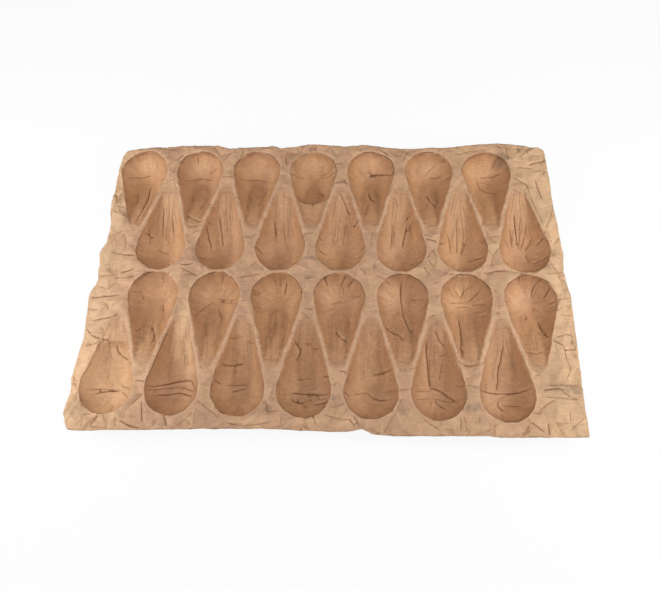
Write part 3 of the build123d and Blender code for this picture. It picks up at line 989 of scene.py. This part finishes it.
def make_tray():
    mesh = start_mesh("paper_tray", CELLS_X, CELLS_Y, 1.0)
    points = read_numbers(mesh.vertices, "co", 3)
    share_x, share_y = points[:, 0], points[:, 1]
    from_edge = np.minimum((1 - np.abs(share_x)) * HALF_X, (1 - np.abs(share_y)) * HALF_Y)
    columns = np.rint((share_x + 1) / 2 * CELLS_X).astype(int)
    rows = np.rint((share_y + 1) / 2 * CELLS_Y).astype(int)
    x, y = cut_outline(share_x * HALF_X, share_y * HALF_Y)

    deep = photo_paths(DEEP_CREASES)
    fine = photo_paths(FINE_CREASES)
    rims = [along_rim(path) for path in photo_paths(RIM_CREASES)]
    raised = photo_paths(RAISED_FOLDS)
    ledge = [ledge_path()]
    seen = deep + fine + raised + rims + ledge
    pleats = clear_of(pleat_paths(), seen)
    broad, _, _ = facets(*BROAD_FACETS)
    small, small_folds, small_tones = facets(*SMALL_FACETS)
    valleys = clear_of(on_flats([run for run, bend in small_folds if bend > FOLD_BEND]), seen)
    peaks = clear_of(on_flats([run for run, bend in small_folds if bend < -FOLD_BEND]), seen)

    free = from_edge > CELL / 2
    pull_onto_folds(x, y, columns, rows, rim_paths(), free)
    pull_onto_folds(x, y, columns, rows, ledge + deep + fine + raised + pleats, free)
    before = free.copy()
    pull_onto_folds(x, y, columns, rows, [run for run, _ in small_folds], free)
    faceted = before & ~free
    pinned = ~free & (from_edge > CELL / 2)

    groove, fold, dark, lifted, highlight_line, light = (np.zeros_like(x) for _ in range(6))
    from_dark = np.full_like(x, FAR)
    from_light = np.full_like(x, FAR)
    # Grooves of the dark folds and the strength of their painted crease shade
    dark_folds = ((valleys, CRUMPLE), (pleats, PLEAT), (fine, FINE), (rims, RIM), (deep, DEEP), (ledge, RIM))
    for paths, mark in dark_folds:
        press(x, y, paths, mark, groove, fold, dark, from_dark)
    # Raised folds and crumple peaks, with the strength of their painted highlight
    for paths, mark in ((peaks, CRUMPLE), (raised, RAISED)):
        press(x, y, paths, mark, lifted, highlight_line, light, from_light)

    depth, rim, second, sideways, forward, owner = pocket_form(x, y)
    neck = np.clip((NECK_START[0] - forward) / NECK_START[1], 0, 1)
    open_share = np.clip((forward + TIP_FADE[0]) / TIP_FADE[1], 0, 1)
    held = np.clip(from_edge / EDGE_RUN, 0, 1)
    flat_share = np.clip(rim / FLAT_RUN, 0, 1) * np.clip((rim + second - FLAT_GAP[0]) / FLAT_GAP[1], 0, 1)
    flats = RIDGE_CRUMPLE + (1 - RIDGE_CRUMPLE) * flat_share
    pockets = np.clip(-rim / POCKET_CRUMPLE_RUN, *POCKET_CRUMPLE) * (1 - NECK_CALM * neck)
    crumple = facet_below(broad, x, y)[0] + facet_below(small, x, y)[0]
    crumple *= np.where(rim > 0, flats, pockets)
    crumple *= EDGE_CRUMPLE + (1 - EDGE_CRUMPLE) * held
    lip = -LIP_DROP * open_share * np.exp(-np.abs(rim) / np.where(rim > 0, LIP_RUN_OUT, LIP_RUN_IN))
    curl = np.clip(1 - from_edge / CURL_RUN, 0, 1) ** 2 * waver(x, y, EDGE_CURL)
    swell = waver(x, y, SWELL) * np.clip(1 - depth / POCKET_DEPTH, 0, 1)
    z = SHEET_TOP - depth + crumple + lip + curl + swell - groove + lifted
    points[:, 0] = (x + held * waver(x, y, RIM_WAVER_X)) * MM
    points[:, 1] = (y + held * waver(x, y, RIM_WAVER_Y)) * MM
    points[:, 2] = np.maximum(z, LEAST_HEIGHT) * MM
    mesh.vertices.foreach_set("co", points.ravel())
    split_along_folds(mesh, pinned)
    mesh.update()
    mesh.shade_smooth()

    crisp = (fold > CREASED) & (dark > SHARP_FOLD)
    crisp |= (highlight_line > CREASED) & (light > SHARP_FOLD)
    crisp |= faceted & (rim > 0)
    crisp |= (np.abs(rim) < ON_FOLD) & (open_share > CRISP_RIM)
    ends = read_numbers(mesh.edges, "vertices", 2, int)
    write_marks(mesh, {"sharp_edge": crisp[ends].all(axis=1)}, "BOOLEAN", "value", "EDGE")
    centres = read_numbers(mesh.polygons, "center", 3) / MM
    facet_tones = small_tones[facet_below(small, centres[:, 0], centres[:, 1])[1]]
    write_marks(mesh, {"facet": facet_tones}, "FLOAT", "value", "FACE")

    beyond = np.abs(x - FIELD_MIDDLE[0]) - FIELD_X
    narrow = np.clip((RIDGE_GAP[0] - np.abs(rim) - second) / RIDGE_GAP[1], 0, 1)
    radius = np.maximum(np.hypot(sideways, forward), HEAD_MIDDLE)
    head = (1 - neck) * np.clip((radius - HEAD_START[0]) / HEAD_START[1], 0, 1)
    pale = smear(x, y, PALE_PATCHES, PATCH_EDGE)
    # Painted shade, darker row by row towards the front, and darker necks, inside the pockets
    pocket_darkening = (np.array(POCKET_TONES)[owner] - NECK_TONE * neck) * np.clip(-rim, 0, 1)
    polar = np.stack([sideways / radius, forward / radius, radius * MM], axis=1)
    turns = np.arctan2(sideways, forward + HEAD_RADIUS / TAPER_SINE)
    fanned = np.stack([turns, forward * MM, np.ones_like(x)], axis=1)
    marks = {
        "fold": fold,
        "dark": dark,
        "highlight_line": highlight_line,
        "light": light,
        "ridge": np.clip(rim / RIDGE_RUN, 0, 1) * narrow,
        "shoulder": shoulders(x, y, deep),
        "rim": np.clip(rim - NARROW_RIM * narrow, *RIM_LIMITS),
        "open": open_share,
        "hollow": np.clip(depth / HOLLOW_DEPTH, 0, 1),
        "depth": depth / POCKET_DEPTH,
        "throat": neck,
        "neck": neck * np.array(NECK_WRINKLES)[owner],
        "head": head * np.array(HEAD_PLEATS)[owner],
        "side_margin": np.clip(1 + beyond / SIDE_RUN, 0, 1) * np.clip(rim / SIDE_RIM, 0, 1),
        "smudge": smear(x, y, SMUDGES, SMUDGE_EDGE),
        "pale": pale,
        "darker": smear(x, y, DARK_PATCHES, PATCH_EDGE),
        "pocket_darkening": pocket_darkening * (1 - pale),
        "loose": np.clip(LOOSE_LIMITS[1] - from_edge / LOOSE_RUN, *LOOSE_LIMITS),
    }
    write_marks(mesh, marks, "FLOAT", "value")
    write_marks(mesh, {"polar": polar, "fanned": fanned}, "FLOAT_VECTOR", "vector")
    tray = bpy.data.objects.new("paper_tray", mesh)
    bpy.context.collection.objects.link(tray)
    wall = tray.modifiers.new("paper", "SOLIDIFY")
    wall.thickness = PAPER * MM
    wall.offset = -1
    return tray


def kraft_paper():
    material = bpy.data.materials.new("kraft_paper")
    material.use_nodes = True
    nodes = material.node_tree.nodes
    links = material.node_tree.links
    shader = nodes["Principled BSDF"]
    shader.inputs["Roughness"].default_value = ROUGHNESS
    place = nodes.new("ShaderNodeTexCoord").outputs["Object"]

    def cloud(noise_kind, vector=place):
        node = nodes.new("ShaderNodeTexNoise")
        node.inputs["Scale"].default_value = noise_kind[0]
        node.inputs["Detail"].default_value = noise_kind[1]
        node.inputs["Roughness"].default_value = CLOUD_ROUGHNESS
        links.new(vector, node.inputs["Vector"])
        return node.outputs["Fac"]

    def stretched(scale, vector=place, turn=0.0):
        node = nodes.new("ShaderNodeMapping")
        node.inputs["Scale"].default_value = scale
        node.inputs["Rotation"].default_value = (0, 0, turn)
        links.new(vector, node.inputs["Vector"])
        return node.outputs["Vector"]

    def mark(name, output="Fac"):
        node = nodes.new("ShaderNodeAttribute")
        node.attribute_name = name
        return node.outputs[output]

    def ranged(value, spread):
        node = nodes.new("ShaderNodeMapRange")
        for name, number in zip(("From Min", "From Max", "To Min", "To Max"), spread):
            node.inputs[name].default_value = number
        links.new(value, node.inputs["Value"])
        return node.outputs["Result"]

    def joined(operation, first, second):
        node = nodes.new("ShaderNodeMath")
        node.operation = operation
        for value, socket in zip((first, second), node.inputs):
            if isinstance(value, float):
                socket.default_value = value
            else:
                links.new(value, socket)
        return node.outputs[0]

    def times(*factors):
        product = factors[0]
        for factor in factors[1:]:
            product = joined("MULTIPLY", product, factor)
        return product

    def plus(*terms):
        total = terms[0]
        for term in terms[1:]:
            total = joined("ADD", total, term)
        return total

    def tinted(share, under, over):
        node = nodes.new("ShaderNodeMix")
        node.data_type = "RGBA"
        links.new(share, node.inputs["Factor"])
        for value, socket in ((under, node.inputs["A"]), (over, node.inputs["B"])):
            if isinstance(value, tuple):
                socket.default_value = value
            else:
                links.new(value, socket)
        return node.outputs["Result"]

    def blotchy(shares):
        return ranged(blotches, BLOTCH_SPREAD + shares)

    spot = nodes.new("ShaderNodeSeparateXYZ")
    links.new(place, spot.inputs[0])
    blotches = cloud(BLOTCH_CLOUD)
    fibres = plus(cloud(FIBRE_CLOUD), cloud(LONG_FIBRE_CLOUD, stretched(LONG_FIBRE)))
    rim = mark("rim")
    # Lines of painted shade along the creases
    fold = times(ranged(mark("fold"), FOLD_LINE), mark("dark"))
    # Line of painted highlight along the raised folds
    raised = times(ranged(mark("highlight_line"), FOLD_LINE), mark("light"))
    inside = times(ranged(rim, INSIDE), mark("open"))
    pocket = times(inside, ranged(mark("hollow"), SHALLOW))
    # Band of painted highlight along the lips of the rims
    lip = times(ranged(rim, LIP_INNER), ranged(rim, LIP_OUTER), mark("open"))
    # Band of painted shadow just inside the rims, under their lips
    under_lip = times(ranged(rim, UNDER_LIP_INNER), ranged(rim, UNDER_LIP_OUTER), mark("open"))
    # Painted shade on the pocket walls just inside the rims
    wall = times(ranged(rim, WALL_INNER), ranged(rim, WALL_OUTER), mark("open"))
    wall = times(wall, ranged(mark("pale"), WALL_PALE), ranged(mark("throat"), WALL_NECK))
    outside = ranged(rim, OUTSIDE)
    facet = times(mark("facet"), outside)

    hue = plus(ranged(cloud(HUE_CLOUD), HUE_SPREAD), ranged(spot.outputs["X"], YELLOW_SIDE))
    hue = plus(hue, times(facet, FACET_HUE))
    # Pocket browns that paint the light bounced inside the pockets
    brown = tinted(ranged(cloud(BROWN_CLOUD), ROSE_SPREAD), POCKET_BOUNCE_BROWN, ROSE_BOUNCE_BROWN)
    # Painted highlights on raised folds, lips, ridges and fold shoulders
    light = joined("MAXIMUM", raised, times(lip, LIP_LIGHT))
    light = joined("MAXIMUM", light, times(mark("ridge"), RIDGE_LIGHT))
    light = joined("MAXIMUM", light, times(mark("shoulder"), SHOULDER_LIGHT))
    colour = tinted(hue, PINK_TAN, YELLOW_TAN)
    # Painted light on the side margins
    colour = tinted(times(mark("side_margin"), blotchy(CREAM_BLOTCHES)), colour, MARGIN_LIGHT_CREAM)
    colour = tinted(times(pocket, blotchy(POCKET_BLOTCHES)), colour, brown)
    colour = tinted(times(wall, blotchy(WALL_BLOTCHES)), colour, WALL_SHADE_BROWN)
    colour = tinted(times(mark("throat"), pocket, NECK_TINT), colour, NECK_BROWN)
    # Paler paper, and painted light on lit facets and walls
    colour = tinted(times(mark("pale"), blotchy(PALE_BLOTCHES)), colour, PALE_AND_LIT_TAN)
    colour = tinted(times(mark("darker"), blotchy(DARK_BLOTCHES)), colour, DARK_BROWN)
    colour = tinted(times(light, blotchy(HIGHLIGHT_BLOTCHES)), colour, HIGHLIGHT_TAN)

    radial = cloud(RADIAL_CLOUD, stretched(RADIAL_SCALE, mark("polar", "Vector")))
    lengthwise = cloud(LENGTHWISE_CLOUD, stretched(LENGTHWISE_SCALE, mark("fanned", "Vector")))
    pleats = plus(times(joined("SUBTRACT", lengthwise, CLOUD_MIDDLE), mark("neck")),
                  times(joined("SUBTRACT", radial, CLOUD_MIDDLE), mark("head")))
    pleats = times(pleats, inside)
    # Tone with streaks of painted shade along the pleats and wrinkles
    tone = plus(blotchy(TONE_BLOTCHES), ranged(fibres, FIBRE_TONE), times(pleats, PLEAT_SHADE_TONE))
    # Painted light by facet on the flats, and lighter towards the back
    tone = plus(tone, times(facet, FACET_TONE), times(ranged(spot.outputs["Y"], BACK_TONE), outside))
    # Painted shade of the pockets by row and along the necks, and painted light on the deepest floors
    tone = plus(tone, mark("pocket_darkening"), ranged(mark("depth"), DEPTH_TONE))
    shade = nodes.new("ShaderNodeCombineColor")
    for socket in shade.inputs:
        links.new(tone, socket)
    multiply = nodes.new("ShaderNodeMix")
    multiply.data_type = "RGBA"
    multiply.blend_type = "MULTIPLY"
    multiply.inputs["Factor"].default_value = 1
    links.new(colour, multiply.inputs["A"])
    links.new(shade.outputs[0], multiply.inputs["B"])
    colour = multiply.outputs["Result"]
    colour = tinted(times(mark("smudge"), ranged(cloud(SMUDGE_CLOUD), SMUDGE_GRAIN)), colour, GREY)
    # Painted shade along the creases and under the lips, broken up by noise
    crease = joined("MAXIMUM", fold, times(under_lip, ranged(cloud(UNDER_LIP_CLOUD), UNDER_LIP_LINE)))
    colour = tinted(times(crease, ranged(cloud(CREASE_SHADE_CLOUD), CREASE_SHADE_BREAKS)), colour, CREASE_SHADE_BROWN)
    links.new(colour, shader.inputs["Base Color"])

    stray = nodes.new("ShaderNodeTexNoise")
    stray.inputs["Scale"].default_value = DRIFT_SCALE
    stray.inputs["Detail"].default_value = DRIFT_DETAIL
    links.new(place, stray.inputs["Vector"])
    drift = nodes.new("ShaderNodeVectorMath")
    drift.operation = "MULTIPLY_ADD"
    drift.inputs[1].default_value = DRIFT
    links.new(stray.outputs["Color"], drift.inputs[0])
    links.new(place, drift.inputs[2])
    height = times(pleats, PLEAT_HEIGHT)
    loose = times(mark("loose"), ranged(mark("hollow"), POCKET_WAVES))
    for turn, width, steepness in WAVES:
        across = nodes.new("ShaderNodeSeparateXYZ")
        links.new(stretched((1, 1, 1), drift.outputs[0], turn), across.inputs[0])
        wave = joined("PINGPONG", across.outputs["X"], width)
        patches = cloud((WAVE_SCALE[0] + WAVE_SCALE[1] * turn, WAVE_DETAIL))
        share = times(ranged(patches, WAVE_SPREAD + (0.0, steepness)), loose)
        height = plus(height, times(wave, share))
    height = plus(height, times(fold, -FOLD_HEIGHT), times(raised, FOLD_HEIGHT))
    height = plus(height, times(cloud(GRAIN_CLOUD), GRAIN_HEIGHT), times(fibres, FIBRE_HEIGHT))
    bump = nodes.new("ShaderNodeBump")
    bump.inputs["Strength"].default_value = 1.0
    bump.inputs["Distance"].default_value = 1.0
    links.new(height, bump.inputs["Height"])
    links.new(bump.outputs["Normal"], shader.inputs["Normal"])
    return material


def make_floor():
    mesh = start_mesh("floor", 1, 1, FLOOR_HALF)
    floor = bpy.data.objects.new("floor", mesh)
    bpy.context.collection.objects.link(floor)
    material = bpy.data.materials.new("white_floor")
    material.use_nodes = True
    nodes = material.node_tree.nodes
    links = material.node_tree.links
    shader = nodes["Principled BSDF"]
    shader.inputs["Base Color"].default_value = FLOOR_GREY
    shader.inputs["Roughness"].default_value = FLOOR_ROUGHNESS
    glow = nodes.new("ShaderNodeEmission")
    path = nodes.new("ShaderNodeLightPath")
    share = nodes.new("ShaderNodeMath")
    share.operation = "MULTIPLY"
    share.inputs[1].default_value = FLOOR_GLOW
    mix = nodes.new("ShaderNodeMixShader")
    links.new(path.outputs["Is Camera Ray"], share.inputs[0])
    links.new(share.outputs[0], mix.inputs["Fac"])
    links.new(shader.outputs[0], mix.inputs[1])
    links.new(glow.outputs[0], mix.inputs[2])
    links.new(mix.outputs[0], nodes["Material Output"].inputs["Surface"])
    mesh.materials.append(material)


def add_softbox(name, place, aim, size, power):
    light = bpy.data.lights.new(name, "AREA")
    light.shape = "RECTANGLE"
    light.size = size[0]
    light.size_y = size[1]
    light.energy = power
    lamp = bpy.data.objects.new(name, light)
    lamp.location = place
    lamp.rotation_euler = (Vector(aim) - Vector(place)).to_track_quat("-Z", "Y").to_euler()
    bpy.context.collection.objects.link(lamp)


def light_scene():
    for name, (place, aim, size, power) in SOFTBOXES.items():
        add_softbox(name, place, aim, size, power)
    world = bpy.data.worlds.new("studio")
    world.use_nodes = True
    nodes = world.node_tree.nodes
    links = world.node_tree.links
    room = nodes["Background"]
    room.inputs["Color"].default_value = WHITE
    room.inputs["Strength"].default_value = ROOM_LIGHT
    backdrop = nodes.new("ShaderNodeBackground")
    backdrop.inputs["Color"].default_value = WHITE
    backdrop.inputs["Strength"].default_value = BACKDROP_LIGHT
    path = nodes.new("ShaderNodeLightPath")
    mix = nodes.new("ShaderNodeMixShader")
    links.new(path.outputs["Is Camera Ray"], mix.inputs["Fac"])
    links.new(room.outputs[0], mix.inputs[1])
    links.new(backdrop.outputs[0], mix.inputs[2])
    links.new(mix.outputs[0], nodes["World Output"].inputs["Surface"])
    bpy.context.scene.world = world


def add_camera():
    data = bpy.data.cameras.new("camera")
    data.sensor_fit = "HORIZONTAL"
    data.sensor_width = SENSOR
    data.lens = FOCAL / PICTURE[0] * SENSOR
    camera = bpy.data.objects.new("camera", data)
    camera.matrix_world = Matrix.Translation(Vector(CAMERA_PLACE) * MM) @ camera_axes().to_4x4()
    bpy.context.collection.objects.link(camera)
    bpy.context.scene.camera = camera


tray = make_tray()
tray.data.materials.append(kraft_paper())
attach(tray, "root")
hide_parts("tray")
make_floor()
light_scene()
add_camera()
bpy.context.scene.view_settings.view_transform = "Standard"
